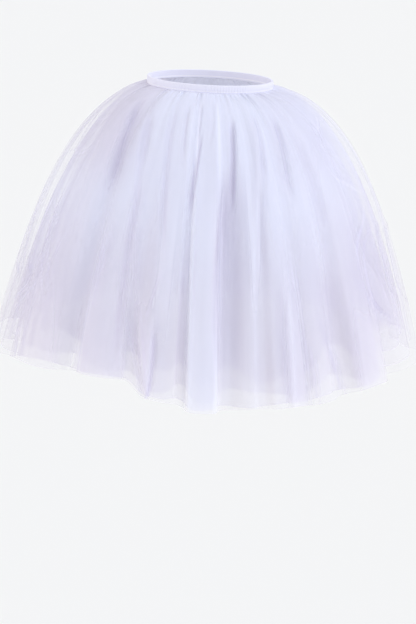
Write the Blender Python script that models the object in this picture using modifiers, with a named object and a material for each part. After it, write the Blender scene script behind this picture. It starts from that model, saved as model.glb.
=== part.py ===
"""Long romantic ballet tutu: four layers of tulle gathered on to a narrow elastic waistband.
Each layer is two widths of tulle, a front and a back panel, joined at the side seams.

Metres, +Z up, the front of the skirt towards -Y. The origin is the middle of the waistband,
on the wearer's upright axis, where the waist holds the skirt up.
Angles round the skirt are in degrees from the front, positive towards +X.
"""

import math

import bmesh
import bpy

# Waistband: an elastic ring, a little wider than deep, as a waist is
WAIST_WIDTH = 0.247
WAIST_DEPTH = 0.191
BAND_HEIGHT = 0.016
BAND_THICKNESS = 0.004
BAND_BEVEL = 0.001
BAND_SIDES = 72

# Tulle, built 1 mm thick so that each layer is a wall
CLOTH = 0.001
SEAM_GAP = 0.0003
SEAM_TUCK = 0.003  # how far the gathered edge reaches in under the band

# The line down a layer: it leaves the seam almost level and bends towards its hang
HANG_SLOPE = math.radians(79)
BEND_LENGTH = 0.165  # the slope closes on the hang by 1/e over each of these lengths
LINE_STEPS = 40

# Gathers at the seam: two for each fold, fading within the first few centimetres
GATHER_DEPTH = 0.0014
GATHER_FADE = 0.05
FOLD_GROWTH = 0.9  # power of the share of the length at which the folds grow
STRAND_SPREAD = 0.3  # the less, the sooner even gathers turn to where their folds end
TROUGH_WIDTH = 1.6  # degrees
LAYER_PUFF = 0.4  # share of the length where a layer's mid gap holds

# Each layer: its cut length, how far its seam lies inside the outermost layer's, and how far it
# then parts from that layer, in metres
LAYERS = [
    # name, cut length, seam gap, parting at the puff, parting at the hem, share of the folds
    ("tulle_layer_1", 0.650, 0.0000, 0.000, 0.000, 1.00),
    ("tulle_layer_2", 0.636, 0.0016, 0.015, 0.015, 0.94),
    ("tulle_layer_3", 0.605, 0.0032, 0.029, 0.030, 0.88),
    ("tulle_layer_4", 0.565, 0.0048, 0.042, 0.048, 0.80),
]

# Folds at the hem, round from the left side by the front: the crest's two edges in degrees,
# how far it stands out in mm, then the trough after it and how far that lies in
FOLDS = [
    # crest from, crest to, out, trough at, in
    (-86.0, -71.0, 6, -67.5, 22),
    (-63.5, -42.0, 8, -38.8, 20),
    (-36.0, -24.0, 5, -19.5, 32),
    (-15.0, -7.0, 2, -4.2, 44),
    (-1.6, 8.6, 22, 12.0, 26),
    (15.2, 17.0, 0, 20.6, 25),
    (24.0, 31.0, 5, 34.0, 18),
    (36.8, 45.0, 6, 48.5, 16),
    (51.5, 63.0, 8, 66.5, 25),
    (70.0, 88.5, 8, 92.0, 15),
    (96.0, 109.0, 6, 112.5, 24),
    (116.0, 123.0, -2, 127.0, 30),
    (131.0, 146.0, 8, 149.5, 20),
    (153.0, 159.0, 0, 163.0, 34),
    (167.0, 177.0, 10, 180.5, 26),
    (184.0, 190.0, -4, 194.0, 36),
    (198.0, 212.0, 8, 215.5, 22),
    (219.0, 226.0, 0, 230.0, 30),
    (234.0, 247.0, 6, 250.0, 20),
    (253.5, 268.0, 7, 272.0, 24),
]
PLACES = 4 * len(FOLDS)  # crest's two edges and the trough's two, for each fold

# Each layer's panels, by how many folds round from the first their side seams are
PANELS = [
    # name, folds before its first seam, folds before its last
    ("front", 0, 10),
    ("back", 10, 20),
]
SEAM_SHIFT = -0.5  # a side seam is half way from the last place of a fold to the next fold's first

# How the skirt hangs round the waist: the slope at which it leaves the seam, how far it then
# swings out, how much of its length goes down, as cloth drawn off to one side hangs less deep,
# and how widely the layers part
HANGS = [
    # angle, start slope in degrees, swing in degrees, share of the length, share of the gaps
    (-90, 13.0, 1.2, 0.98, 1.1),
    (-45, 7.0, 2.6, 0.94, 0.75),
    (-22, 4.0, 1.5, 0.935, 0.7),
    (-14, 4.0, 0.5, 0.975, 0.7),
    (-7, 4.0, 0.0, 0.98, 0.7),
    (0, 4.0, -2.5, 1.0, 0.7),
    (35, 4.0, 0.0, 0.995, 0.75),
    (65, 2.0, 1.5, 0.98, 0.9),
    (92, 1.0, 2.4, 0.985, 0.95),
    (135, 3.0, 1.5, 1.0, 0.8),
    (180, 4.0, 0.0, 1.0, 0.7),
    (225, 6.0, 1.0, 0.99, 0.8),
]

# Rows down each panel, as shares of its length; the first FINE_ROWS have twice the points
ROWS = [0.0, 0.05, 0.11, 0.18, 0.26, 0.36, 0.49, 0.65, 0.82, 1.0]
FINE_ROWS = 2

WHITE_TULLE = (0.80, 0.81, 0.95, 1.0)
WHITE_ELASTIC = (0.86, 0.86, 0.93, 1.0)


def smooth_share(share):
    """0 at 0 and 1 at 1, easing at both ends."""
    return share * share * (3 - 2 * share)


def blend(a, b, share):
    return a + (b - a) * share


def hang_at(angle):
    """How the skirt hangs at this angle, easing between the rows of HANGS: the start slope and
    the swing in radians, then the shares of the length and of the gaps."""
    first = HANGS[0]
    angle = (angle - first[0]) % 360 + first[0]
    rows = HANGS + [(first[0] + 360, *first[1:])]
    after = next(i for i, row in enumerate(rows) if row[0] > angle)
    before_row, after_row = rows[after - 1], rows[after]
    share = smooth_share((angle - before_row[0]) / (after_row[0] - before_row[0]))
    start, swing, length_share, gap_share = (
        blend(here, there, share) for here, there in zip(before_row[1:], after_row[1:])
    )
    return math.radians(start), math.radians(swing), length_share, gap_share


def slope_at(distance, start, swing):
    """How steeply the cloth heads down at this distance from the seam."""
    hang = HANG_SLOPE - swing
    return hang - (hang - start) * math.exp(-distance / BEND_LENGTH)


def cloth_line(distance, start, swing):
    """The cloth's reach out and drop down at this distance from the seam, and its slope there."""
    reach = drop = 0.0
    step = distance / LINE_STEPS
    for i in range(LINE_STEPS):
        slope = slope_at((i + 0.5) * step, start, swing)
        reach += math.cos(slope) * step
        drop += math.sin(slope) * step
    return reach, drop, slope_at(distance, start, swing)


def layer_parting(puff_gap, hem_gap, share):
    """How far a layer has parted from the outermost one at this share of its length."""
    if share < LAYER_PUFF:
        return puff_gap * math.sin(share / LAYER_PUFF * math.pi / 2)
    return blend(puff_gap, hem_gap, (share - LAYER_PUFF) / (1 - LAYER_PUFF))


def fold_places():
    """(angle, reach) of each crest's and trough's two edges at the hem, in order round the skirt."""
    places = []
    for crest_from, crest_to, out, trough_at, inward in FOLDS:
        places.append((crest_from, out / 1000))
        places.append((crest_to, out / 1000))
        places.append((trough_at - TROUGH_WIDTH / 2, -inward / 1000))
        places.append((trough_at + TROUGH_WIDTH / 2, -inward / 1000))
    return places


def place_at(number, places):
    """The angle and the reach at a whole or part number of places round from the first."""
    before = math.floor(number)
    angle, reach = places[before % PLACES]
    next_angle, next_reach = places[(before + 1) % PLACES]
    angle += 360 * (before // PLACES)
    next_angle += 360 * ((before + 1) // PLACES)
    share = number - before
    return blend(angle, next_angle, share), blend(reach, next_reach, share)


def panel_numbers(first_fold, last_fold):
    """The place numbers of a panel's strands, from side seam to side seam, one to each place."""
    first, last = 4 * first_fold, 4 * last_fold
    return [first + SEAM_SHIFT, *range(first, last), last + SEAM_SHIFT]


def gather_wave(number):
    """A wave of two places' length that is 1 at a fold's crests and -1 at its troughs."""
    return math.sqrt(2) * math.cos(math.pi * (number - 0.25))


def halved(numbers):
    """The same numbers with one more between each two neighbours."""
    more = []
    for number, after in zip(numbers, numbers[1:]):
        more += [number, (number + after) / 2]
    return more + [numbers[-1]]


def cloth_point(angle, distance, seam_gap, parting, wave, aside=0.0):
    """A point of a layer: out from the seam at this angle, along the cloth's line, then off it
    and aside round the skirt."""
    start, swing, length_share, gap_share = hang_at(angle)
    reach, drop, slope = cloth_line(distance * length_share, start, swing)
    turn = math.radians(angle)
    half_width = WAIST_WIDTH / 2 - SEAM_TUCK
    half_depth = WAIST_DEPTH / 2 - SEAM_TUCK
    outward = (half_depth * math.sin(turn), -half_width * math.cos(turn))
    size = math.hypot(*outward)
    out_x, out_y = outward[0] / size, outward[1] / size
    off = wave - seam_gap - parting * gap_share
    level = reach + off * math.sin(slope)
    x = half_width * math.sin(turn) + out_x * level - out_y * aside
    y = -half_depth * math.cos(turn) + out_y * level + out_x * aside
    seam_z = -BAND_HEIGHT / 2 - SEAM_GAP - GATHER_DEPTH
    return (x, y, seam_z - drop + off * math.cos(slope))


def panel_row(share, layer, numbers, places):
    """One row of a panel's points: even gathers at the waist, uneven folds further down."""
    _, length, seam_gap, puff_gap, hem_gap, fold_share = layer
    distance = share * length
    parting = layer_parting(puff_gap, hem_gap, share)
    growth = fold_share * share**FOLD_GROWTH
    gather = GATHER_DEPTH * math.exp(-distance / GATHER_FADE)
    spread = share * (1 + STRAND_SPREAD) / (share + STRAND_SPREAD)
    row = []
    for number in numbers:
        fold_angle, reach = place_at(number, places)
        even_angle = FOLDS[0][0] + 360 * number / PLACES
        angle = blend(even_angle, fold_angle, spread)
        wave = growth * reach + gather * gather_wave(number)
        aside = 0.0
        if number in (numbers[0], numbers[-1]):
            aside = SEAM_GAP / 2 if number == numbers[0] else -SEAM_GAP / 2
        row.append(cloth_point(angle, distance, seam_gap, parting, wave, aside))
    return row


def bridge(form, upper, lower):
    """Faces between two rows of vertices; the upper has as many as the lower or twice."""
    for i in range(len(lower) - 1):
        if len(upper) == len(lower):
            form.faces.new((upper[i], lower[i], lower[i + 1], upper[i + 1]))
        else:
            left, middle, right = upper[2 * i : 2 * i + 3]
            form.faces.new((left, lower[i], middle))
            form.faces.new((middle, lower[i], lower[i + 1]))
            form.faces.new((middle, lower[i + 1], right))


def cloth_material(name, colour, roughness):
    material = bpy.data.materials.new(name)
    material.use_nodes = True
    shader = material.node_tree.nodes["Principled BSDF"]
    shader.inputs["Base Color"].default_value = colour
    shader.inputs["Roughness"].default_value = roughness
    shader.inputs["Metallic"].default_value = 0.0
    return material


def thicken(obj, thickness):
    """Gives an open surface a wall that grows inwards from it."""
    wall = obj.modifiers.new("wall", "SOLIDIFY")
    wall.thickness = thickness
    wall.offset = -1
    wall.use_even_offset = True


def add_panel(layer, panel, material, collection):
    """A panel of tulle: rows from the gathered waist to the hem, joined into a pleated wall."""
    panel_name, first_fold, last_fold = panel
    places = fold_places()
    coarse = panel_numbers(first_fold, last_fold)
    form = bmesh.new()
    rows = []
    for row_number, share in enumerate(ROWS):
        numbers = halved(coarse) if row_number < FINE_ROWS else coarse
        points = panel_row(share, layer, numbers, places)
        rows.append([form.verts.new(point) for point in points])
    for upper, lower in zip(rows, rows[1:]):
        bridge(form, upper, lower)
    name = f"{layer[0]}_{panel_name}"
    mesh = bpy.data.meshes.new(name)
    form.to_mesh(mesh)
    form.free()
    mesh.materials.append(material)
    mesh.shade_smooth()
    obj = bpy.data.objects.new(name, mesh)
    collection.objects.link(obj)
    thicken(obj, CLOTH)


def add_waistband(material, collection):
    """The elastic ring that the layers hang from."""
    bpy.ops.mesh.primitive_cylinder_add(
        vertices=BAND_SIDES, radius=1.0, depth=BAND_HEIGHT, end_fill_type="NOTHING"
    )
    band = bpy.context.object
    band.name = band.data.name = "waistband"
    band.scale = (WAIST_WIDTH / 2, WAIST_DEPTH / 2, 1.0)
    bpy.ops.object.transform_apply(location=False, rotation=False, scale=True)
    thicken(band, BAND_THICKNESS)
    edge = band.modifiers.new("edge", "BEVEL")
    edge.width = BAND_BEVEL
    edge.segments = 1
    edge.limit_method = "ANGLE"
    band.data.materials.append(material)
    for owner in list(band.users_collection):
        owner.objects.unlink(band)
    collection.objects.link(band)


def main():
    for obj in list(bpy.data.objects):
        bpy.data.objects.remove(obj)
    collection = bpy.data.collections.new("ballet_tutu")
    bpy.context.scene.collection.children.link(collection)
    add_waistband(cloth_material("white_elastic", WHITE_ELASTIC, 0.7), collection)
    tulle = cloth_material("white_tulle", WHITE_TULLE, 0.8)
    for layer in LAYERS:
        for panel in PANELS:
            add_panel(layer, panel, tulle, collection)


main()
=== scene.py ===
import math

import bmesh
import bpy
import numpy as np
from mathutils import Matrix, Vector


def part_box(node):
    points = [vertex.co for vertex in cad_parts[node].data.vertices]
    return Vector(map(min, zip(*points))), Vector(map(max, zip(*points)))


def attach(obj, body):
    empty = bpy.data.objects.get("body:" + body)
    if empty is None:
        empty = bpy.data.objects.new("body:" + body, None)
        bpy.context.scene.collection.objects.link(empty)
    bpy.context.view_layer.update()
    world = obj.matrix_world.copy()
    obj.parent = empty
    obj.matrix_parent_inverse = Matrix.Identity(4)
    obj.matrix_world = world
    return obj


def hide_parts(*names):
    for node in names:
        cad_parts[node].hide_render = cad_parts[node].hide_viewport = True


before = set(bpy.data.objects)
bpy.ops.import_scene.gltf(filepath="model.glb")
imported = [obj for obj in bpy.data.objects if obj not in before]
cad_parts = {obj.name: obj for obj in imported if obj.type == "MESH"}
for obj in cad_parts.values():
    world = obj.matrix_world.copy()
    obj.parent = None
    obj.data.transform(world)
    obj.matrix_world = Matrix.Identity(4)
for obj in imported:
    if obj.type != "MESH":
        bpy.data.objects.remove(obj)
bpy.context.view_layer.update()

# A long romantic ballet tutu: four layers of gathered tulle on a narrow elastic waistband, each
# layer a front and a back panel. Metres, +Z up, front towards -Y. Angles round the skirt are
# degrees from the front, positive towards +X, and left and right are as seen from the front. A
# share runs down the cloth from 0 at the seam to 1 at the hem, and a strand is one thread line of
# the cloth from waist to hem.

scene = bpy.context.scene
bandLow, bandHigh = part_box("waistband")
bandTall = bandHigh[2] - bandLow[2]


def linearColour(hexColour):
    # sRGB hex to the linear colour that a socket takes
    parts = [int(hexColour[i:i + 2], 16) / 255 for i in (1, 3, 5)]
    return (*[c / 12.92 if c <= 0.04045 else ((c + 0.055) / 1.055) ** 2.4 for c in parts], 1.0)


def addNode(tree, kind, settings=None, links=None):
    # one node with its settings (properties or input values) and its incoming links
    node = tree.nodes.new(kind)
    for name, value in (settings or {}).items():
        if isinstance(name, str) and hasattr(node, name):
            setattr(node, name, value)
        else:
            node.inputs[name].default_value = value
    for name, source in (links or {}).items():
        tree.links.new(source, node.inputs[name])
    return node


def mathNode(tree, operation, *values):
    # a Math node on sockets or plain numbers
    node = addNode(tree, "ShaderNodeMath", {"operation": operation})
    for i, value in enumerate(values):
        if isinstance(value, (int, float)):
            node.inputs[i].default_value = value
        else:
            tree.links.new(value, node.inputs[i])
    return node.outputs[0]


def mixColours(tree, factor, first, second):
    # a colour between two, each a linear colour or a socket: the node's inputs 6 and 7 are its
    # two colours, and its output 2 is the mixed one
    node = addNode(tree, "ShaderNodeMix", {"data_type": "RGBA"}, {0: factor})
    for i, colour in ((6, first), (7, second)):
        if isinstance(colour, tuple):
            node.inputs[i].default_value = colour
        else:
            tree.links.new(colour, node.inputs[i])
    return node.outputs[2]


def ease(share):
    # 0 at 0 and 1 at 1, flat at both ends
    share = np.clip(share, 0.0, 1.0)
    return share * share * (3 - 2 * share)


def easedRows(angle, rows, column):
    # one column of a table of rows by angle, easing from row to row and round the circle
    angles = np.array([row[0] for row in rows] + [rows[0][0] + 360], dtype=float)
    values = np.array([row[column] for row in rows] + [rows[0][column]], dtype=float)
    angle = (angle - angles[0]) % 360 + angles[0]
    after = np.clip(np.searchsorted(angles, angle, side="right"), 1, len(angles) - 1)
    share = ease((angle - angles[after - 1]) / (angles[after] - angles[after - 1]))
    return values[after - 1] + (values[after] - values[after - 1]) * share


def unevenWave(turnShare, waves, spread, seed):
    # a wave round the whole skirt of about that many waves, uneven, mostly between -1 and 1
    source = np.random.default_rng(seed)
    total = np.zeros_like(turnShare)
    for count in range(waves - spread, waves + spread + 1):
        total += np.cos(2 * math.pi * count * turnShare + source.uniform(0, 2 * math.pi))
    return total / math.sqrt(2 * spread + 1)


def newMaterial(name):
    # a material with its node tree and the Principled shader in it
    material = bpy.data.materials.new(name)
    material.use_nodes = True
    tree = material.node_tree
    return material, tree, tree.nodes["Principled BSDF"]


def addObject(name, data):
    # an object for a mesh, a light or a camera, in the scene
    thing = bpy.data.objects.new(name, data)
    scene.collection.objects.link(thing)
    return thing


def ovalPoint(halfWidth, halfDepth, turn, level):
    # x and y on an oval round the waist, moved straight out from it by the level
    outX, outY = halfDepth * np.sin(turn), -halfWidth * np.cos(turn)
    size = np.hypot(outX, outY)
    return (halfWidth * np.sin(turn) + outX / size * level,
            -halfDepth * np.cos(turn) + outY / size * level)


skirt = {
    "seamTuck": 0.0022,      # how far in under the band the gathered edge lies
    "seamRise": 0.0012,      # and how far up into the band
    "hangSlope": 79,         # degrees down from level, where the cloth has bent to its hang
    "bendLength": 0.165,
    "lineSteps": 40,
    "strandSpread": 0.5,     # the less, the sooner the strands reach their folds
    "foldGrowth": 0.9,
    "troughWidth": 1.4,
    "curvePoints": 40,       # to each of the four stretches of a fold
    "crestBulge": 0.004,     # of a crest that is bulgeWidth degrees wide
    "bulgeWidth": 12,
    "hemRadius": 0.43,       # of the round line along which the strands are spread
    "puffShare": 0.4,
    "seamShift": -0.5,       # places from a fold's first place to the side seam before it
    "hemWaves": (13, 9),     # waves round the uneven hem and their spread
    "hemSeed": 40,           # added to the layer's seed
    "panelColumns": 540,
    "rows": 100,
    "rowPower": 1.25,        # rows lie closer together near the waist
}

clothSpread = {
    "leastFullness": 0.6,    # cloth to each length across the mesh is kept between these two
    "mostFullness": 5,
    "singleFullness": 0.9,   # where the cloth lies single
    "paintedLightRange": 0.45,      # how much fuller it is where it is painted in full light
    "sideFrom": 0.72,        # sine of the angle where the two sides begin
    "sideEase": 0.22,        # and how much more it is where they count in full
    "sideThinner": 0.4,      # how much thinner the cloth is spread there
    "thinnerBy": 0.3,        # share down the cloth at which it is that thin
    "leftSideShade": 0.75,       # painted shade on the two upper sides, left and right, even where they are gathered
    "rightSideShade": 0.3,
    "sideShadeFrom": 0.26,       # share down the cloth where that begins to fade, and where it ends
    "sideShadeTo": 0.54,
    "sideShadeSideFrom": 0.42,   # as sideFrom and sideEase, for this painted shade
    "sideShadeSideEase": 0.4,
    "troughShade": 0.5,     # painted shade in a trough at the hem where it lies troughDepth in
    "troughDepth": 0.05,
    "seamLine": 0.6,         # extra cloth along a side seam
    "seamLineWidth": 0.002,
}

creases = {
    "start": 0.25,           # share of its length in which a crease grows from its top
    "end": 0.35,             # and in which it fades, unless it runs on over the hem
    "deepest": 12,           # mm of a crease that counts as deep and gets the full painted shade
    "lineWidth": 3.0,        # mm to each side of a sharp fold line
    "lineAt": 0.8,           # how far out on its sharp side a crease has its fold line
    "mostLine": 1.2,
    "doubledStart": 0.75,    # the same two shares for cloth folded over itself
    "doubledEnd": 0.4,
}

panels = [
    # name, folds before its first side seam, folds before its last
    ("front", 0, 10),
    ("back", 10, 20),
]

hangRows = [
    # angle, start slope, swing out in degrees, share of the length, share of the layers' gaps
    (-90, 13.0, 1.2, 0.98, 1.45),
    (-45, 7.0, 2.6, 0.94, 0.75),
    (-22, 4.0, 1.5, 0.935, 0.7),
    (-14, 4.0, 0.5, 0.975, 0.7),
    (-7, 4.0, 0.0, 0.98, 0.7),
    (0, 4.0, -2.5, 1.0, 0.7),
    (35, 4.0, 0.0, 0.995, 0.75),
    (65, 2.0, 1.5, 0.98, 0.9),
    (92, 1.0, 2.4, 0.985, 1.1),
    (135, 3.0, 1.5, 1.0, 0.8),
    (180, 4.0, 0.0, 1.0, 0.7),
    (225, 6.0, 1.0, 0.99, 0.8),
]

hemRows = [
    # angle, how much longer the third layer hangs there as a share of its length, and the others
    # in proportion to their hemFollows
    (-90, 0.00),
    (-62, 0.03),
    (-45, 0.01),
    (-34, 0.04),
    (-22, 0.045),
    (-10, 0.055),
    (-4, 0.02),
    (3, 0.04),
    (12, 0.025),
    (22, 0.035),
    (33, 0.04),
    (41, 0.015),
    (49, 0.01),
    (58, 0.035),
    (67, 0.0),
    (82, 0.02),
    (112, -0.01),
    (140, 0.035),
    (163, 0.0),
    (186, 0.03),
    (212, -0.005),
    (243, 0.03),
]

foldRows = [
    # crest from, crest to, out in mm, trough at, in in mm, then by how many degrees the crest
    # before the trough and the crest after it lie over the trough
    (-83.6, -73.4, 6, -67.5, 19, 0.1, 0.4),
    (-60.1, -45.4, 8, -38.8, 17, 0.1, 0.4),
    (-35.0, -28.4, 5, -21.6, 6, 0.2, 0.3),
    (-15.0, -6.6, 2, -4.2, 5, 0.1, 0.3),
    (-1.6, 5.6, 18, 10.4, 14, 0.5, 0.1),
    (17.4, 18.8, 0, 22.2, 6, 0.1, 0.1),
    (26.0, 29.9, 5, 34.0, 3, 0.3, 0.1),
    (38.1, 43.7, 6, 48.5, 10, 0.2, 0.2),
    (53.3, 61.2, 8, 66.5, 21, 0.4, 0.1),
    (73.0, 85.5, 8, 92.0, 13, 0.1, 0.2),
    (98.1, 106.9, 6, 112.5, 20, 0.3, 0.1),
    (117.1, 121.9, -2, 127.0, 26, 0.1, 0.3),
    (133.4, 143.6, 8, 149.5, 17, 0.4, 0.1),
    (153.0, 159.0, 0, 163.0, 29, 0.2, 0.3),
    (168.6, 175.4, 10, 180.5, 22, 0.3, 0.1),
    (184.0, 190.0, -4, 194.0, 31, 0.1, 0.3),
    (200.2, 209.8, 8, 215.5, 19, 0.4, 0.1),
    (220.1, 224.9, 0, 230.0, 26, 0.1, 0.3),
    (236.1, 244.9, 6, 250.0, 17, 0.4, 0.1),
    (255.8, 265.7, 7, 272.0, 20, 0.2, 0.2),
]

creaseRows = [
    # angle at its top, middle and end, share at its top and end, height in mm (below 0 it is a
    # trough), width to its left and right in mm, and the extra cloth along its sharp side
    (-48.5, -43, -40, 0.07, 0.47, -9.5, 8, 6, 0.2),
    (-37, -29, -25, 0.10, 0.58, -3.5, 6, 8, 0.2),
    (-33, -30, -27, 0.14, 0.36, -3.0, 6, 6, 0.0),
    (-27, -25.6, -23.5, 0.38, 0.98, -5.0, 7, 5, 0.2),
    (-21, -17, -12.5, 0.06, 0.64, -4.0, 8, 6, 0.2),
    (-13, -11.5, -9.5, 0.07, 0.34, -3.0, 5, 4, 0.0),
    (-4.5, -4.2, -4.5, 0.07, 0.26, -3.0, 4, 3, 0.0),
    (-2.5, -4, -5.2, 0.17, 0.50, -5.0, 5, 3, 0.2),
    (-5.2, -4.6, -2.2, 0.58, 1.02, -1.5, 3, 3, 0.1),
    (4, 3, 1, 0.04, 0.27, -1.5, 4, 4, 0.0),
    (14.5, 13, 11.5, 0.11, 0.46, -7.5, 5, 5, 0.2),
    (13, 11.6, 12.8, 0.26, 0.99, -5.0, 32, 34, 0.0),
    (11, 6.4, 8.7, 0.28, 0.98, -5.5, 8, 14, 0.0),
    (30, 22, 19, 0.05, 0.74, 2.5, 8, 8, 0.0),
    (27, 23.2, 23.5, 0.20, 0.70, -2.0, 9, 9, 0.1),
    (41, 37.5, 36, 0.11, 0.44, -6.0, 6, 7, 0.2),
    (28.5, 27, 25.5, 0.09, 0.38, -4.0, 6, 5, 0.0),
    (33, 35, 36, 0.56, 1.02, 1.0, 18, 3, 0.5),
    (48, 49, 50, 0.18, 0.58, -2.5, 12, 14, 0.0),
    (61, 61.5, 61, 0.68, 1.02, 2.5, 14, 6, 0.8),
    (-26, -20.5, -13.3, 0.46, 1.02, 3.5, 6, 6, 0.3),
    (-34.5, -35.5, -36.5, 0.52, 1.02, -3.0, 3, 14, 0.6),
    (-40, -39.5, -39.5, 0.78, 1.02, 2.5, 8, 8, -0.5),
    (-23, -19, -14.2, 0.80, 1.02, -1.5, 6, 6, 0.6),
    (-14.5, -13.2, -13.8, 0.78, 1.02, -2.5, 3, 5, 0.6),
    (-12, -14.5, -16, 0.62, 0.80, 2.0, 6, 8, 0.4),
    (-62, -72, -91, 0.25, 0.41, 2.5, 6, 6, 0.8),
    (-78, -61, -48, 0.44, 0.86, -2.5, 6, 8, 0.7),
    (-61.5, -66.5, -79, 0.33, 0.96, -4.0, 10, 6, 0.8),
    (-76, -81.5, -89, 0.45, 0.86, -2.5, 6, 6, 0.8),
    (-54, -60, -66, 0.58, 1.02, -3.5, 12, 6, 0.8),
    (76, 64.5, 80, 0.15, 0.47, -2.5, 6, 8, 0.6),
    (76, 65, 78, 0.47, 0.92, -3.0, 8, 6, 0.8),
    (77, 91, 80, 0.50, 0.90, 2.5, 8, 6, 0.8),
    (68, 68.5, 72, 0.16, 0.42, -1.5, 6, 6, 0.4),
    (38, 39, 39, 0.84, 1.02, 1.5, 3, 3, 0.5),
    (47, 48.5, 50, 0.84, 1.02, 1.5, 6, 6, 0.6),
    (28.5, 28.8, 29, 0.64, 1.02, -4.5, 14, 10, 0.0),
    (46, 46, 46, 0.62, 1.02, -6.0, 22, 20, 0.0),
    (104, 103, 101, 0.08, 0.60, -4.0, 9, 6, 0.0),
    (118, 114, 112, 0.06, 0.44, -4.5, 6, 9, 0.2),
    (126, 123, 121, 0.05, 0.50, 2.5, 9, 7, 0.0),
    (138, 138, 136, 0.10, 0.72, -5.0, 12, 6, 0.3),
    (147, 145, 144, 0.04, 0.36, -3.0, 6, 7, 0.0),
    (158, 159, 157, 0.12, 0.66, -5.5, 12, 6, 0.2),
    (170, 172, 173, 0.05, 0.50, -3.5, 6, 6, 0.0),
    (176, 175, 175, 0.04, 0.30, -2.5, 6, 6, 0.0),
    (186, 187, 188, 0.14, 0.86, -7.5, 12, 14, 0.2),
    (199, 202, 203, 0.05, 0.46, -4.0, 6, 8, 0.2),
    (208, 209, 208, 0.10, 0.60, -3.0, 9, 6, 0.0),
    (221, 221, 222, 0.06, 0.52, -5.0, 6, 9, 0.2),
    (233, 236, 240, 0.08, 0.66, -3.5, 12, 7, 0.0),
    (246, 246, 244, 0.12, 0.54, 2.5, 8, 9, 0.0),
    (258, 260, 259, 0.06, 0.58, -3.5, 8, 10, 0.0),
    (107, 107, 106, 0.66, 1.02, -3.0, 6, 9, 0.7),
    (120, 124, 133, 0.55, 0.95, 2.5, 6, 8, 0.6),
    (135, 137, 138, 0.60, 1.02, -3.0, 9, 6, 0.8),
    (160, 152, 148, 0.50, 0.92, -2.5, 6, 8, 0.6),
    (172, 171, 171, 0.66, 1.02, -3.0, 6, 6, 0.8),
    (205, 205, 206, 0.64, 1.02, -3.0, 6, 9, 0.7),
    (214, 222, 226, 0.52, 0.94, 2.5, 8, 6, 0.6),
    (240, 239, 239, 0.66, 1.02, -3.0, 8, 6, 0.8),
    (264, 258, 252, 0.40, 0.92, -3.0, 8, 6, 0.7),
]

doubledRows = [
    # cloth folded over itself: left edge at its top and end, right edge at its top and end,
    # share at its top and end, the extra cloth there, how soft its two edges are in mm, and how
    # much painted highlight it gets, as if it stood out into the light, from 0 to 1
    (28, 28.5, 33, 36, 0.60, 1.02, 1.6, 16, 3, 0.0),
    (50, 51, 61.5, 61, 0.66, 1.02, 2.0, 25, 2, 0.0),
    (-35, -36.5, -24, -21.5, 0.60, 1.02, 1.4, 2, 8, 0.0),
    (-5.4, -1.6, 4.6, 8.2, 0.26, 1.02, 0.8, 2.5, 2.5, 0.8),
    (-62, -66, -50, -42, 0.60, 1.02, 0.8, 2, 14, 0.0),
    (-22, -14.2, -14, -13.6, 0.70, 1.02, 2.8, 2, 2, 0.0),
    (17, 18.4, 25, 20.6, 0.20, 0.76, 0.6, 4, 4, 0.5),
    (-15.5, -14, -8.5, -9, 0.30, 0.92, 0.5, 6, 8, 0.5),
    (60, 66, 66, 78, 0.56, 0.92, 1.0, 20, 2, 0.0),
    (83, 80, 88, 88, 0.60, 0.92, 1.4, 3, 3, 0.0),
    (104, 102, 112, 108, 0.60, 1.02, 1.8, 10, 2, 0.0),
    (136, 137.5, 143, 146, 0.55, 1.02, 2.0, 2, 10, 0.0),
    (166, 163, 172, 171, 0.62, 1.02, 1.8, 12, 2, 0.3),
    (184, 186, 194, 192, 0.26, 1.02, 0.7, 3, 3, 0.7),
    (205, 206, 212, 214, 0.60, 1.02, 2.0, 2, 12, 0.0),
    (229, 232, 239.5, 239, 0.62, 1.02, 1.8, 14, 2, 0.0),
    (252, 250, 258, 260, 0.56, 1.02, 1.6, 2, 8, 0.0),
]

gathers = {
    "evenDepth": 0.0012,     # the deep gathers at the seam, two to a fold
    "evenFade": 0.05,
    "evenShift": 0.25,       # places
    "atSeam": 0.2,           # how much of its depth a gather has in the seam itself
    "seamReach": 0.014,
    "fineWaves": (84, 12, 3),  # waves round the skirt, their spread and the seed
    "fineDepth": 0.0009,
    "fineFade": 0.045,
    "pipeWaves": (24, 8, 5),   # soft pipes below the gathers
    "pipeDepth": 0.0013,
    "pipeStart": 0.04,
    "pipeFull": 0.20,
    "pipeFade": 0.4,         # share of the cloth in which they fade to pipeAtHem
    "pipeAtHem": 0.12,
    "ownWaves": (18, 6),     # what each layer has of its own, with the layer's seed
    "ownDepth": 0.0005,
    "ownFull": 0.5,
    "sideCalm": 1.0,         # how much smoother the cloth lies at the two sides
}

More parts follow.
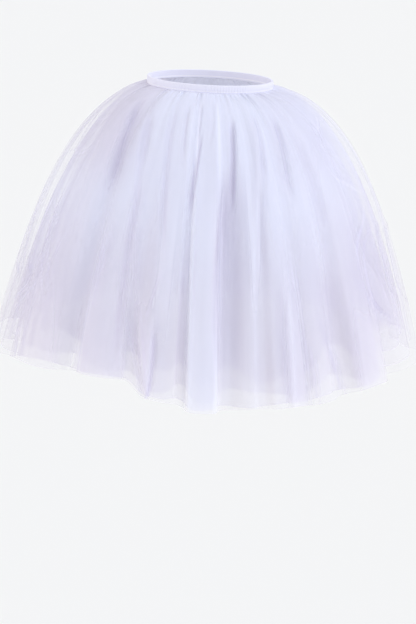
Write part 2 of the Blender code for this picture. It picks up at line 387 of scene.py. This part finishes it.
tulleLayers = [
    # length and cutWidth of the whole flat cut; how far the layer parts from the outermost one at
    # the seam, the puff and the hem; its share of the folds' depth; how far it follows hemRows and
    # how uneven its own hem is; what share of the light one thickness stops; and how strongly
    # folded cloth shows
    {"node": "tulle_layer_1", "length": 0.650, "cutWidth": 2.7,
     "seamGap": 0.0, "puffGap": 0.0, "hemGap": 0.0, "foldShare": 1.0,
     "hemFollows": 0.0, "hemUneven": 0.003, "sheer": 0.22, "doubled": 1.0, "seed": 21},
    {"node": "tulle_layer_2", "length": 0.636, "cutWidth": 2.6,
     "seamGap": 0.0005, "puffGap": 0.015, "hemGap": 0.015, "foldShare": 0.94,
     "hemFollows": 0.4, "hemUneven": 0.005, "sheer": 0.42, "doubled": 1.0, "seed": 22},
    {"node": "tulle_layer_3", "length": 0.605, "cutWidth": 2.45,
     "seamGap": 0.0010, "puffGap": 0.029, "hemGap": 0.030, "foldShare": 0.88,
     "hemFollows": 1.0, "hemUneven": 0.013, "sheer": 0.48, "doubled": 0.3, "seed": 23},
    {"node": "tulle_layer_4", "length": 0.565, "cutWidth": 2.2,
     "seamGap": 0.0015, "puffGap": 0.042, "hemGap": 0.048, "foldShare": 0.80,
     "hemFollows": 1.3, "hemUneven": 0.020, "sheer": 0.60, "doubled": 0.2, "seed": 24},
]


def foldCurve():
    # the hem's line round the skirt as closely spaced points: angle, reach in or out, and the
    # number of places passed, four to a fold
    half = skirt["troughWidth"] / 2
    t = np.arange(skirt["curvePoints"]) / skirt["curvePoints"]
    toAndFro = np.sin(2 * math.pi * t)
    angles, reaches, numbers = [], [], []
    for i, (crestFrom, crestTo, out, troughAt, inward, before, after) in enumerate(foldRows):
        nextFold = foldRows[(i + 1) % len(foldRows)]
        nextFrom, nextOut = nextFold[0], nextFold[2]
        nextFrom += 360 if nextFrom < crestFrom else 0
        bulge = skirt["crestBulge"] * np.sin(math.pi * t) * (crestTo - crestFrom) / skirt["bulgeWidth"]
        angles.append(crestFrom + (crestTo - crestFrom) * t)
        reaches.append(out / 1000 + bulge)
        angles.append(crestTo + (troughAt - half - crestTo) * t + before * toAndFro)
        reaches.append(out / 1000 - (out + inward) / 1000 * ease(t))
        angles.append(troughAt - half + 2 * half * t)
        reaches.append(-inward / 1000 * np.ones_like(t))
        angles.append(troughAt + half + (nextFrom - troughAt - half) * t + after * toAndFro)
        reaches.append(-inward / 1000 + (nextOut + inward) / 1000 * ease(t))
        numbers += [4 * i + t, 4 * i + 1 + t, 4 * i + 2 + t, 4 * i + 3 + t]
    angles, reaches, numbers = (np.concatenate(parts) for parts in (angles, reaches, numbers))
    places = 4 * len(foldRows)
    return (np.append(angles, angles[0] + 360), np.append(reaches, reaches[0]),
            np.append(numbers, places))


def layStrands():
    # the hem's line with its length so far, since the strands are spread evenly along it
    angles, reaches, numbers = foldCurve()
    x = (skirt["hemRadius"] + reaches) * np.sin(np.radians(angles))
    y = -(skirt["hemRadius"] + reaches) * np.cos(np.radians(angles))
    lengths = np.concatenate([[0], np.cumsum(np.hypot(np.diff(x), np.diff(y)))])
    return angles, reaches, numbers, lengths


curveAngle, curveReach, curveNumber, curveLength = layStrands()
hemLength = curveLength[-1]
print("hem line", round(hemLength, 3), "m round")


def wrapped(values, lengths, fullTurn):
    # the curve's values at any length along it, going on round past its ends
    turns = np.floor(lengths / hemLength)
    return np.interp(lengths - turns * hemLength, curveLength, values) + turns * fullTurn


def hangingPoint(distance, start, hang):
    # reach, drop and slope of the cloth at each distance from the seam
    reach, drop = np.zeros_like(distance), np.zeros_like(distance)
    step = distance / skirt["lineSteps"]
    for i in range(skirt["lineSteps"]):
        slope = hang - (hang - start) * np.exp(-(i + 0.5) * step / skirt["bendLength"])
        reach += np.cos(slope) * step
        drop += np.sin(slope) * step
    return reach, drop, hang - (hang - start) * np.exp(-distance / skirt["bendLength"])


def layerParting(layer, share):
    # how far the layer has parted from the outermost one at this share of its length
    puff = skirt["puffShare"]
    upper = layer["puffGap"] * np.sin(np.minimum(share / puff, 1) * math.pi / 2)
    lower = layer["puffGap"] + (layer["hemGap"] - layer["puffGap"]) * (share - puff) / (1 - puff)
    return np.where(share < puff, upper, lower)


def creaseShape(angle, share, radius):
    # height of all the creases together, the painted shade deep in their troughs, and how much
    # cloth is folded together along the sharp side of a crease
    height, paintedShade, line = (np.zeros_like(angle) for _ in range(3))
    for top, middle, end, topShare, endShare, mm, leftMm, rightMm, dense in creaseRows:
        along = np.clip((share - topShare) / (endShare - topShare), 0, 1)
        centre = top * (1 - along) * (1 - 2 * along) + 4 * middle * along * (1 - along) \
            + end * along * (2 * along - 1)
        off = np.radians((angle - centre + 180) % 360 - 180) * radius * 1000
        inside = ease(along / creases["start"])
        if endShare <= 1:
            inside = inside * ease((1 - along) / creases["end"])
        inside = inside * (share > topShare) * (share < endShare)
        shape = np.exp(-(off / np.where(off < 0, leftMm, rightMm)) ** 2) * inside
        height += mm / 1000 * shape
        paintedShade += max(-mm, 0) / creases["deepest"] * shape
        edge = off - creases["lineAt"] * (rightMm if rightMm < leftMm else -leftMm)
        line += dense * np.exp(-(edge / creases["lineWidth"]) ** 2) * inside
    return height, np.clip(paintedShade, 0, 1), np.clip(line, -1, creases["mostLine"])


def doubledCloth(angle, share, radius):
    # how much extra cloth lies folded over at each point, and how much painted highlight it gets
    extra, paintedHighlight = np.zeros_like(angle), np.zeros_like(angle)
    for leftTop, leftEnd, rightTop, rightEnd, topShare, endShare, *rest in doubledRows:
        amount, leftSoft, rightSoft, highlightShare = rest
        along = np.clip((share - topShare) / (endShare - topShare), 0, 1)
        fromLeft = (angle - leftTop - (leftEnd - leftTop) * along + 180) % 360 - 180
        fromRight = (rightTop + (rightEnd - rightTop) * along - angle + 180) % 360 - 180
        inside = ease(np.radians(fromLeft) * radius * 1000 / leftSoft) \
            * ease(np.radians(fromRight) * radius * 1000 / rightSoft) \
            * ease(along / creases["doubledStart"]) * (share > topShare)
        if endShare <= 1:
            inside = inside * ease((1 - along) / creases["doubledEnd"])
        extra += amount * inside
        paintedHighlight += highlightShare * inside
    return extra, paintedHighlight


def gatherWave(layer, share, distance, turnShare, number, calm):
    # height of the gathers, of the soft pipes below them and of the layer's own waves
    grown = gathers["atSeam"] + (1 - gathers["atSeam"]) * ease(distance / gathers["seamReach"])
    wave = grown * gathers["evenDepth"] * math.sqrt(2) * np.exp(-distance / gathers["evenFade"]) \
        * np.cos(math.pi * (number - gathers["evenShift"]))
    wave = wave + grown * gathers["fineDepth"] * np.exp(-distance / gathers["fineFade"]) \
        * unevenWave(turnShare, *gathers["fineWaves"])
    rise = ease((share - gathers["pipeStart"]) / (gathers["pipeFull"] - gathers["pipeStart"]))
    fade = ease((share - gathers["pipeFull"]) / gathers["pipeFade"])
    fall = 1 - (1 - gathers["pipeAtHem"]) * fade
    wave = wave + calm * gathers["pipeDepth"] * rise * fall \
        * unevenWave(turnShare, *gathers["pipeWaves"])
    return wave + calm * gathers["ownDepth"] * ease(share / gathers["ownFull"]) \
        * unevenWave(turnShare, *gathers["ownWaves"], layer["seed"])


def clothLooks(layer, points, strandLength, angle, share, radius, atSide):
    # how full the cloth is gathered at each point, and how much painted light it gets there
    spacing = np.linalg.norm(np.diff(points, axis=1), axis=2)
    between = (spacing[:, 1:] + spacing[:, :-1]) / 2
    spacing = np.concatenate([spacing[:, :1], between, spacing[:, -1:]], 1)
    cutSpacing = (strandLength[1] - strandLength[0]) * layer["cutWidth"] / hemLength
    fullness = np.clip(cutSpacing / spacing, clothSpread["leastFullness"],
                       clothSpread["mostFullness"])
    extra, paintedHighlight = doubledCloth(angle, share, radius)
    # painted light: lighter and bluer where the net is gathered, darker lavender where it lies single
    paintedLight = np.clip((fullness - clothSpread["singleFullness"]) / clothSpread["paintedLightRange"], 0, 1)
    side = np.sin(np.radians(angle))
    # painted shade on the upper sides, stronger on the left than on the right
    sideShade = np.where(side < 0, clothSpread["leftSideShade"], clothSpread["rightSideShade"])
    sideShade = sideShade * ease((clothSpread["sideShadeTo"] - share)
                         / (clothSpread["sideShadeTo"] - clothSpread["sideShadeFrom"]))
    sideShade = sideShade * ease((np.abs(side) - clothSpread["sideShadeSideFrom"]) / clothSpread["sideShadeSideEase"])
    # painted highlight where doubled cloth stands out into the light
    paintedLight = np.maximum(paintedLight * (1 - sideShade), paintedHighlight)
    fullness = fullness * (1 + layer["doubled"] * extra)
    thinner = clothSpread["sideThinner"] * atSide * ease(share / clothSpread["thinnerBy"])
    return fullness * (1 - thinner), paintedLight


def panelPoints(layer, panel):
    # the panel's points, a row for each share of its length and a column for each strand, their
    # places on the cut, and what the material has to know at each of them
    _, firstFold, lastFold = panel
    columns, rows = skirt["panelColumns"], skirt["rows"]
    endNumbers = [4 * fold + skirt["seamShift"] for fold in (firstFold, lastFold)]
    endLengths = np.interp(endNumbers,
                           np.concatenate([curveNumber[:-1] - curveNumber[-1], curveNumber]),
                           np.concatenate([curveLength[:-1] - hemLength, curveLength]))
    strandLength = np.linspace(endLengths[0], endLengths[1], columns + 1)
    hemAngle = wrapped(curveAngle, strandLength, 360)
    hemReach = wrapped(curveReach, strandLength, 0)
    number = wrapped(curveNumber, strandLength, curveNumber[-1])
    turnShare = strandLength / hemLength
    seamAngle = curveAngle[0] + 360 * turnShare

    share = (np.arange(rows + 1) / rows)[:, None] ** skirt["rowPower"] + 0 * seamAngle
    spread = share * (1 + skirt["strandSpread"]) / (share + skirt["strandSpread"])
    angle = seamAngle + (hemAngle - seamAngle) * spread
    start, swing, lengthShare, gapShare = (easedRows(angle, hangRows, i) for i in (1, 2, 3, 4))
    hemWave = unevenWave(turnShare, *skirt["hemWaves"], layer["seed"] + skirt["hemSeed"])
    uneven = 1 + layer["hemUneven"] * hemWave * share
    uneven = uneven + layer["hemFollows"] * easedRows(angle, hemRows, 1) * share
    distance = share * layer["length"]
    reach, drop, slope = hangingPoint(distance * lengthShare * uneven, np.radians(start),
                                      np.radians(skirt["hangSlope"] - swing))
    halfWidth, halfDepth = bandHigh[0] - skirt["seamTuck"], bandHigh[1] - skirt["seamTuck"]
    radius = (halfWidth + halfDepth) / 2 + reach

    side = np.abs(np.sin(np.radians(angle)))
    atSide = ease((side - clothSpread["sideFrom"]) / clothSpread["sideEase"])
    calm = 1 - gathers["sideCalm"] * atSide
    wave = layer["foldShare"] * share ** skirt["foldGrowth"] * hemReach
    wave = wave + gatherWave(layer, share, distance, turnShare, number, calm)
    crease, paintedShade, line = creaseShape(angle, share, radius)
    wave = wave + crease * layer["foldShare"]
    off = wave - layer["seamGap"] - layerParting(layer, share) * gapShare
    points = np.empty((rows + 1, columns + 1, 3))
    points[..., 0], points[..., 1] = ovalPoint(halfWidth, halfDepth, np.radians(angle),
                                               reach + off * np.sin(slope))
    points[..., 2] = bandLow[2] + skirt["seamRise"] - drop + off * np.cos(slope)

    # painted shade in the folds' troughs, growing down towards the hem
    inTrough = np.clip(-hemReach / clothSpread["troughDepth"], 0, 1)
    paintedShade = np.clip(paintedShade + clothSpread["troughShade"] * share * inTrough, 0, 1)
    fromSeam = np.minimum(strandLength - strandLength[0], strandLength[-1] - strandLength)
    line = line + clothSpread["seamLine"] * np.exp(-(fromSeam / clothSpread["seamLineWidth"]) ** 2)
    fullness, paintedLight = clothLooks(layer, points, strandLength, angle, share, radius, atSide)
    looks = {"fullness": fullness, "paintedLight": paintedLight, "paintedShade": paintedShade, "foldLine": line}
    return points, share, turnShare, looks


def makePanel(layer, panel, material):
    # a grid as large as the panel, moved to the panel's points
    points, share, turnShare, looks = panelPoints(layer, panel)
    rows, columns = skirt["rows"], skirt["panelColumns"]
    node = layer["node"] + "_" + panel[0]
    grid = bmesh.new()
    bmesh.ops.create_grid(grid, x_segments=columns, y_segments=rows, size=0.5)
    mesh = bpy.data.meshes.new(node + "_cloth")
    grid.to_mesh(mesh)
    grid.free()
    flat = np.empty(len(mesh.vertices) * 3)
    mesh.vertices.foreach_get("co", flat)
    flat = flat.reshape(-1, 3)
    column = np.rint((flat[:, 0] + 0.5) * columns).astype(int)
    row = np.rint((0.5 - flat[:, 1]) * rows).astype(int)
    mesh.vertices.foreach_set("co", points[row, column].ravel())
    for name, values in looks.items():
        mesh.attributes.new(name, "FLOAT", "POINT").data.foreach_set("value", values[row, column])
    corners = np.empty(len(mesh.loops), dtype=np.int32)
    mesh.loops.foreach_get("vertex_index", corners)
    cut = np.stack([turnShare[column], 1 - share[row, column]], axis=1)[corners]
    mesh.uv_layers.new(name="cut").data.foreach_set("uv", cut.ravel())
    mesh.materials.append(material)
    mesh.shade_smooth()
    mesh.update()
    cloth = addObject(node + "_cloth", mesh)
    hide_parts(node)
    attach(cloth, "root")


tulleLook = {
    "gatheredLitColour": "#f0f2fd",   # painted light: bluish white where much net lies together
    "singleShadedColour": "#e7e3ef",     # painted shade: a darker lavender white where it lies single
    "paintedShadeColour": "#e0dcec",     # painted shade deep in a trough or crease
    # painted shade along a sharp fold line or side seam
    "lineShadeColour": "#dcd8f0",
    "netCell": 1.5,
    "netDepth": 0.08,
    "netBump": 0.05,
    "bumpHeight": 0.0002,
    "streakWidth": 38,
    "streakLength": 520,
    "streakDepth": 0.12,
    "cloudWidth": 110,
    "cloudLength": 220,
    "cloudDepth": 0.10,
    "noiseDetail": 2.0,
    "leastFullness": 0.3,
    "lineFullness": 1.5,           # extra cloth along a sharp fold line
    "hemFullness": 0.4,            # and along the cut hem
    "hemFrom": 2.4,                # mm above the hem where that begins, and where it is in full
    "hemFull": 0.8,
    "roughness": 0.75,
    "sheen": 0.2,
}


def tulleMaterial(name, layer):
    # soft sheer nylon tulle: a hexagon net that thickens where it is gathered, with painted light and
    # shade in its colour
    look = tulleLook
    material, tree, _ = newMaterial(name)
    tree.nodes.clear()
    output = addNode(tree, "ShaderNodeOutputMaterial")
    uv = addNode(tree, "ShaderNodeUVMap", {"uv_map": "cut"})
    cutSize = (layer["cutWidth"] * 1000, layer["length"] * 1000, 1)
    inMm = addNode(tree, "ShaderNodeVectorMath", {"operation": "MULTIPLY", 1: cutSize},
                   {0: uv.outputs[0]}).outputs[0]
    waves = []
    for turn in (0, 60, 120):
        way = math.radians(turn)
        size = 2 * math.pi / look["netCell"]
        across = (math.cos(way) * size, math.sin(way) * size, 0)
        along = addNode(tree, "ShaderNodeVectorMath", {"operation": "DOT_PRODUCT", 1: across},
                        {0: inMm})
        waves.append(mathNode(tree, "COSINE", along.outputs["Value"]))
    net = mathNode(tree, "ADD", mathNode(tree, "ADD", waves[0], waves[1]), waves[2])
    noises = []
    for kind in ("streak", "cloud"):
        inSpots = (1 / look[kind + "Width"], 1 / look[kind + "Length"], 1)
        spot = addNode(tree, "ShaderNodeVectorMath", {"operation": "MULTIPLY", 1: inSpots},
                       {0: inMm})
        noise = addNode(tree, "ShaderNodeTexNoise",
                        {"noise_dimensions": "2D", "Scale": 1.0, "Detail": look["noiseDetail"],
                         "Roughness": 0.5},
                        {"Vector": spot.outputs[0]})
        noises.append(mathNode(tree, "SUBTRACT", noise.outputs[0], 0.5))
    streak, cloud = noises
    fullness, paintedLight, paintedShade, line = (
        addNode(tree, "ShaderNodeAttribute", {"attribute_name": attribute}).outputs["Fac"]
        for attribute in ("fullness", "paintedLight", "paintedShade", "foldLine"))
    aboveHem = addNode(tree, "ShaderNodeSeparateXYZ", None, {0: inMm}).outputs[1]
    hem = addNode(tree, "ShaderNodeMapRange",
                  {"From Min": look["hemFrom"], "From Max": look["hemFull"],
                   "To Max": look["hemFullness"]}, {"Value": aboveHem}).outputs[0]
    amount = mathNode(tree, "ADD", fullness, hem)
    amount = mathNode(tree, "MULTIPLY_ADD", line, look["lineFullness"], amount)
    amount = mathNode(tree, "MAXIMUM", amount, look["leastFullness"])
    uneven = mathNode(tree, "MULTIPLY_ADD", streak, 2 * look["streakDepth"], 1.0)
    uneven = mathNode(tree, "MULTIPLY_ADD", cloud, 2 * look["cloudDepth"], uneven)
    uneven = mathNode(tree, "MULTIPLY_ADD", net, -look["netDepth"] / len(waves), uneven)
    thickness = mathNode(tree, "MULTIPLY", amount, uneven)
    seeThrough = mathNode(tree, "POWER", 1 - layer["sheer"], thickness)
    alpha = mathNode(tree, "SUBTRACT", 1.0, seeThrough)
    # painted light and shade: bluish white where gathered, darker lavender where single
    colour = mixColours(tree, paintedLight, linearColour(look["singleShadedColour"]),
                        linearColour(look["gatheredLitColour"]))
    # painted shade in the troughs and creases
    colour = mixColours(tree, paintedShade, colour, linearColour(look["paintedShadeColour"]))
    # extra cloth along fold lines, with painted shade tinting them darker
    inLine = addNode(tree, "ShaderNodeMapRange", {"From Max": creases["mostLine"]},
                     {"Value": line}).outputs[0]
    colour = mixColours(tree, inLine, colour, linearColour(look["lineShadeColour"]))
    bump = addNode(tree, "ShaderNodeBump",
                   {"Strength": look["netBump"], "Distance": look["bumpHeight"]}, {"Height": net})
    shader = addNode(tree, "ShaderNodeBsdfPrincipled",
                     {"Roughness": look["roughness"], "Sheen Weight": look["sheen"], "Metallic": 0.0},
                     {"Base Color": colour, "Alpha": alpha, "Normal": bump.outputs[0]})
    tree.links.new(shader.outputs[0], output.inputs[0])
    return material


band = {
    "thick": 0.004,
    "ribs": 138,             # puckers where the elastic has drawn up
    "columnsPerRib": 7,
    "ribDepth": 0.00035,
    "ribAtEdge": 0.4,        # how much of its depth a rib has at the band's upper and lower edge
    "ribRise": 0.0002,       # how far the ribs lift the upper half
    "ribWander": 1.3,        # how unevenly they are spaced, in radians
    "wanderWaves": (7, 3, 8),   # waves round the band, their spread and the seed
    "ribUneven": 0.3,        # and how unevenly deep they are
    "unevenWaves": (11, 4, 9),
    "bulge": 0.0005,
    "corner": 0.0012,
    "cornerSteps": 4,
    "sideSteps": 12,
    "seamAt": -0.0042,       # the row of stitches, from the band's middle
    "seamDepth": 0.0005,
    "seamWidth": 0.0009,
    "stitches": 236,
    "stitchLength": 0.0021,
    "stitchThick": 0.0005,
    "stitchSides": 6,
    "stitchRings": 5,
}


def bandSection():
    # the band's cross section, once round: distance out from its inner face, and height
    corner = band["corner"]
    outside, inside = band["thick"] - corner, corner
    top, bottom = bandTall / 2 - corner, corner - bandTall / 2
    corners = [((outside, top), 90, 0), ((outside, bottom), 0, -90),
               ((inside, bottom), -90, -180), ((inside, top), -180, -270)]
    places = []
    for i, ((x, z), turnFrom, turnTo) in enumerate(corners):
        for step in range(band["cornerSteps"] + 1):
            turn = math.radians(turnFrom + (turnTo - turnFrom) * step / band["cornerSteps"])
            places.append((x + corner * math.cos(turn), z + corner * math.sin(turn)))
        if i % 2 == 0:
            x, z = places[-1]
            for step in range(1, band["sideSteps"]):
                places.append((x, z * (1 - 2 * step / band["sideSteps"])))
    return places


def makeWaistband():
    # the elastic in its casing of tulle: a section run round the waist, puckered by ribs
    section = np.array(bandSection())
    section = np.vstack([section, section[:1]])
    columns, rows = band["ribs"] * band["columnsPerRib"], len(section) - 1
    turnShare = np.arange(columns + 1) / columns
    turn = 2 * math.pi * turnShare
    wander = band["ribWander"] * unevenWave(turnShare, *band["wanderWaves"])
    ribs = np.cos(band["ribs"] * turn + wander)
    ribs = ribs * (1 - band["ribUneven"]
                   + band["ribUneven"] * unevenWave(turnShare, *band["unevenWaves"]))
    out, z = section[:, 0][:, None], section[:, 1][:, None]
    outer = ease((out - band["thick"] / 2) / (band["thick"] / 2))
    swell = 1 - (2 * z / bandTall) ** 2
    seam = np.exp(-((z - band["seamAt"]) / band["seamWidth"]) ** 2)
    ribHeight = band["ribDepth"] * ribs * (band["ribAtEdge"] + (1 - band["ribAtEdge"]) * swell)
    level = out - band["thick"] - band["bulge"] \
        + outer * (band["bulge"] * swell + ribHeight - band["seamDepth"] * seam)
    points = np.empty((rows + 1, columns + 1, 3))
    points[..., 0], points[..., 1] = ovalPoint(bandHigh[0], bandHigh[1], turn, level)
    points[..., 2] = z + band["ribRise"] * ribs * (z > 0)
    points[:, -1], points[-1] = points[:, 0], points[0]

    ring = bmesh.new()
    bmesh.ops.create_grid(ring, x_segments=columns, y_segments=rows, size=0.5, calc_uvs=True)
    for vert in ring.verts:
        column, row = round((vert.co.x + 0.5) * columns), round((0.5 - vert.co.y) * rows)
        vert.co = points[row, column]
    bmesh.ops.remove_doubles(ring, verts=ring.verts, dist=0.000001)
    bmesh.ops.recalc_face_normals(ring, faces=ring.faces)
    mesh = bpy.data.meshes.new("waistband_casing")
    ring.to_mesh(mesh)
    ring.free()
    mesh.materials.append(elasticMaterial())
    mesh.shade_smooth()
    casing = addObject("waistband_casing", mesh)
    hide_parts("waistband")
    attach(casing, "root")


def makeStitches():
    # a row of short running stitches that holds the gathered tulle to the band
    thread = bmesh.new()
    for i in range(band["stitches"]):
        turn = 2 * math.pi * i / band["stitches"]
        x, y = ovalPoint(bandHigh[0], bandHigh[1], turn, -band["seamDepth"])
        along = math.atan2(bandHigh[1] * math.sin(turn), bandHigh[0] * math.cos(turn))
        place = Matrix.Translation((x, y, band["seamAt"])) @ Matrix.Rotation(along, 4, "Z")
        shape = Matrix.Diagonal((band["stitchLength"] / 2, band["stitchThick"] / 2,
                                 band["stitchThick"] / 2, 1))
        bmesh.ops.create_uvsphere(thread, u_segments=band["stitchSides"],
                                  v_segments=band["stitchRings"], radius=1, matrix=place @ shape)
    mesh = bpy.data.meshes.new("waist_stitching")
    thread.to_mesh(mesh)
    thread.free()
    mesh.materials.append(threadMaterial())
    mesh.shade_smooth()
    stitches = addObject("waist_stitching", mesh)
    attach(stitches, "root")


elasticLook = {
    "clothColour": "#ebebf8",
    "seamColour": "#f8f8ff",
    "threadColour": "#ffffff",
    "ribPitch": 1.1,
    "fluffScale": 260.0,
    "fluffDetail": 3.0,
    "fluffRelief": 0.8,      # next to the weave's own
    "seamFrom": 1.4,         # mm from the stitches where the paler stripe begins, and is in full
    "seamFull": 0.3,
    "smoothest": 0.6,
    "roughest": 0.85,
    "sheen": 0.2,
    "bump": 0.35,
    "bumpHeight": 0.0002,
    "twistScale": 1800.0,
    "threadRoughness": 0.5,
}


def elasticMaterial():
    # white woven elastic under a fold of tulle: fine cross ribs, paler along the seam
    look = elasticLook
    material, tree, shader = newMaterial("woven_elastic")
    place = addNode(tree, "ShaderNodeTexCoord").outputs["Object"]
    height = addNode(tree, "ShaderNodeSeparateXYZ", None, {0: place}).outputs[2]
    inMm = mathNode(tree, "MULTIPLY", height, 1000.0)
    inRibs = mathNode(tree, "MULTIPLY", inMm, 2 * math.pi / look["ribPitch"])
    weave = mathNode(tree, "COSINE", inRibs)
    fluff = addNode(tree, "ShaderNodeTexNoise",
                    {"Scale": look["fluffScale"], "Detail": look["fluffDetail"]}, {"Vector": place})
    offSeam = mathNode(tree, "ABSOLUTE", mathNode(tree, "SUBTRACT", inMm, band["seamAt"] * 1000))
    onSeam = addNode(tree, "ShaderNodeMapRange",
                     {"From Min": look["seamFrom"], "From Max": look["seamFull"]},
                     {"Value": offSeam}).outputs[0]
    colour = mixColours(tree, onSeam, linearColour(look["clothColour"]),
                        linearColour(look["seamColour"]))
    tree.links.new(colour, shader.inputs["Base Color"])
    rough = addNode(tree, "ShaderNodeMapRange",
                    {"To Min": look["smoothest"], "To Max": look["roughest"]},
                    {"Value": fluff.outputs[0]}).outputs[0]
    tree.links.new(rough, shader.inputs["Roughness"])
    shader.inputs["Sheen Weight"].default_value = look["sheen"]
    relief = mathNode(tree, "MULTIPLY_ADD", fluff.outputs[0], look["fluffRelief"], weave)
    bump = addNode(tree, "ShaderNodeBump",
                   {"Strength": look["bump"], "Distance": look["bumpHeight"]}, {"Height": relief})
    tree.links.new(bump.outputs[0], shader.inputs["Normal"])
    return material


def threadMaterial():
    # white polyester thread with a slight twist
    look = elasticLook
    material, tree, shader = newMaterial("polyester_thread")
    place = addNode(tree, "ShaderNodeTexCoord").outputs["Object"]
    twist = addNode(tree, "ShaderNodeTexNoise", {"Scale": look["twistScale"]}, {"Vector": place})
    colour = mixColours(tree, twist.outputs[0], linearColour(look["clothColour"]),
                        linearColour(look["threadColour"]))
    tree.links.new(colour, shader.inputs["Base Color"])
    shader.inputs["Roughness"].default_value = look["threadRoughness"]
    return material


studio = {
    "floorHeight": -3.4,
    "floorSize": 130,
    "floorColour": "#f2f2ed",
    "worldColour": "#fffdff",
    "worldStrength": 0.61,
    "seeThroughBounces": 96,
    "diffuseBounces": 6,
}

lights = [
    # name, strength, width in degrees, tilt from straight down, turn from the front, colour
    ("top_light", 1.6, 75, 38, 66, "#e9f0ff"),
    ("left_light", 1.3, 50, 84, -78, "#fdf8f9"),
    ("right_light", 0.5, 50, 84, 70, "#fdf9f9"),
]

camera = {
    "distance": 3.6,
    "height": 0.5845,
    "side": 0.019,
    "pitch": 0.2847,         # radians down from level
    "roll": 0.0514,
    "focalPixels": 1852,     # the focal length and the picture's height, both in pixels
    "pictureHeight": 624,
    "sensor": 36,
    "farthest": 200,
}


def makeStudio():
    # a wide pale floor far below the skirt, an even sky and three broad lights
    bpy.ops.mesh.primitive_plane_add(size=studio["floorSize"], location=(0, 0, studio["floorHeight"]))
    floor = bpy.context.object
    floor.name = "studio_floor"
    paper, _, shader = newMaterial("pale_floor_paper")
    shader.inputs["Base Color"].default_value = linearColour(studio["floorColour"])
    shader.inputs["Roughness"].default_value = 1.0
    shader.inputs["Specular IOR Level"].default_value = 0.0
    floor.data.materials.append(paper)
    world = bpy.data.worlds.new("studio_world")
    scene.world = world
    world.use_nodes = True
    sky = world.node_tree.nodes["Background"]
    sky.inputs["Color"].default_value = linearColour(studio["worldColour"])
    sky.inputs["Strength"].default_value = studio["worldStrength"]
    for name, strength, angle, tilt, turn, colour in lights:
        sun = bpy.data.lights.new(name, "SUN")
        sun.energy = strength
        sun.angle = math.radians(angle)
        sun.color = linearColour(colour)[:3]
        light = addObject(name, sun)
        light.rotation_euler = (math.radians(tilt), 0, math.radians(turn))
    scene.cycles.transparent_max_bounces = studio["seeThroughBounces"]
    scene.cycles.diffuse_bounces = studio["diffuseBounces"]
    scene.view_settings.view_transform = "Standard"


def makeCamera():
    # a camera like the one that took the photo, fitted to the outline of the skirt
    data = bpy.data.cameras.new("camera")
    data.lens = camera["focalPixels"] / camera["pictureHeight"] * camera["sensor"]
    data.sensor_width = camera["sensor"]
    data.clip_end = camera["farthest"]
    lens = addObject("camera", data)
    place = Matrix.Translation((camera["side"], -camera["distance"], camera["height"]))
    pitch = Matrix.Rotation(math.pi / 2 - camera["pitch"], 4, "X")
    roll = Matrix.Rotation(camera["roll"], 4, "Z")
    lens.matrix_world = place @ (pitch @ roll)
    scene.camera = lens


makeStudio()
makeCamera()
print("studio and camera made")

makeWaistband()
makeStitches()
print("waistband made")

for number, layer in enumerate(tulleLayers):
    tulle = tulleMaterial("soft_tulle_%d" % (number + 1), layer)
    for panel in panels:
        makePanel(layer, panel, tulle)
    print("layer", number + 1, "made")
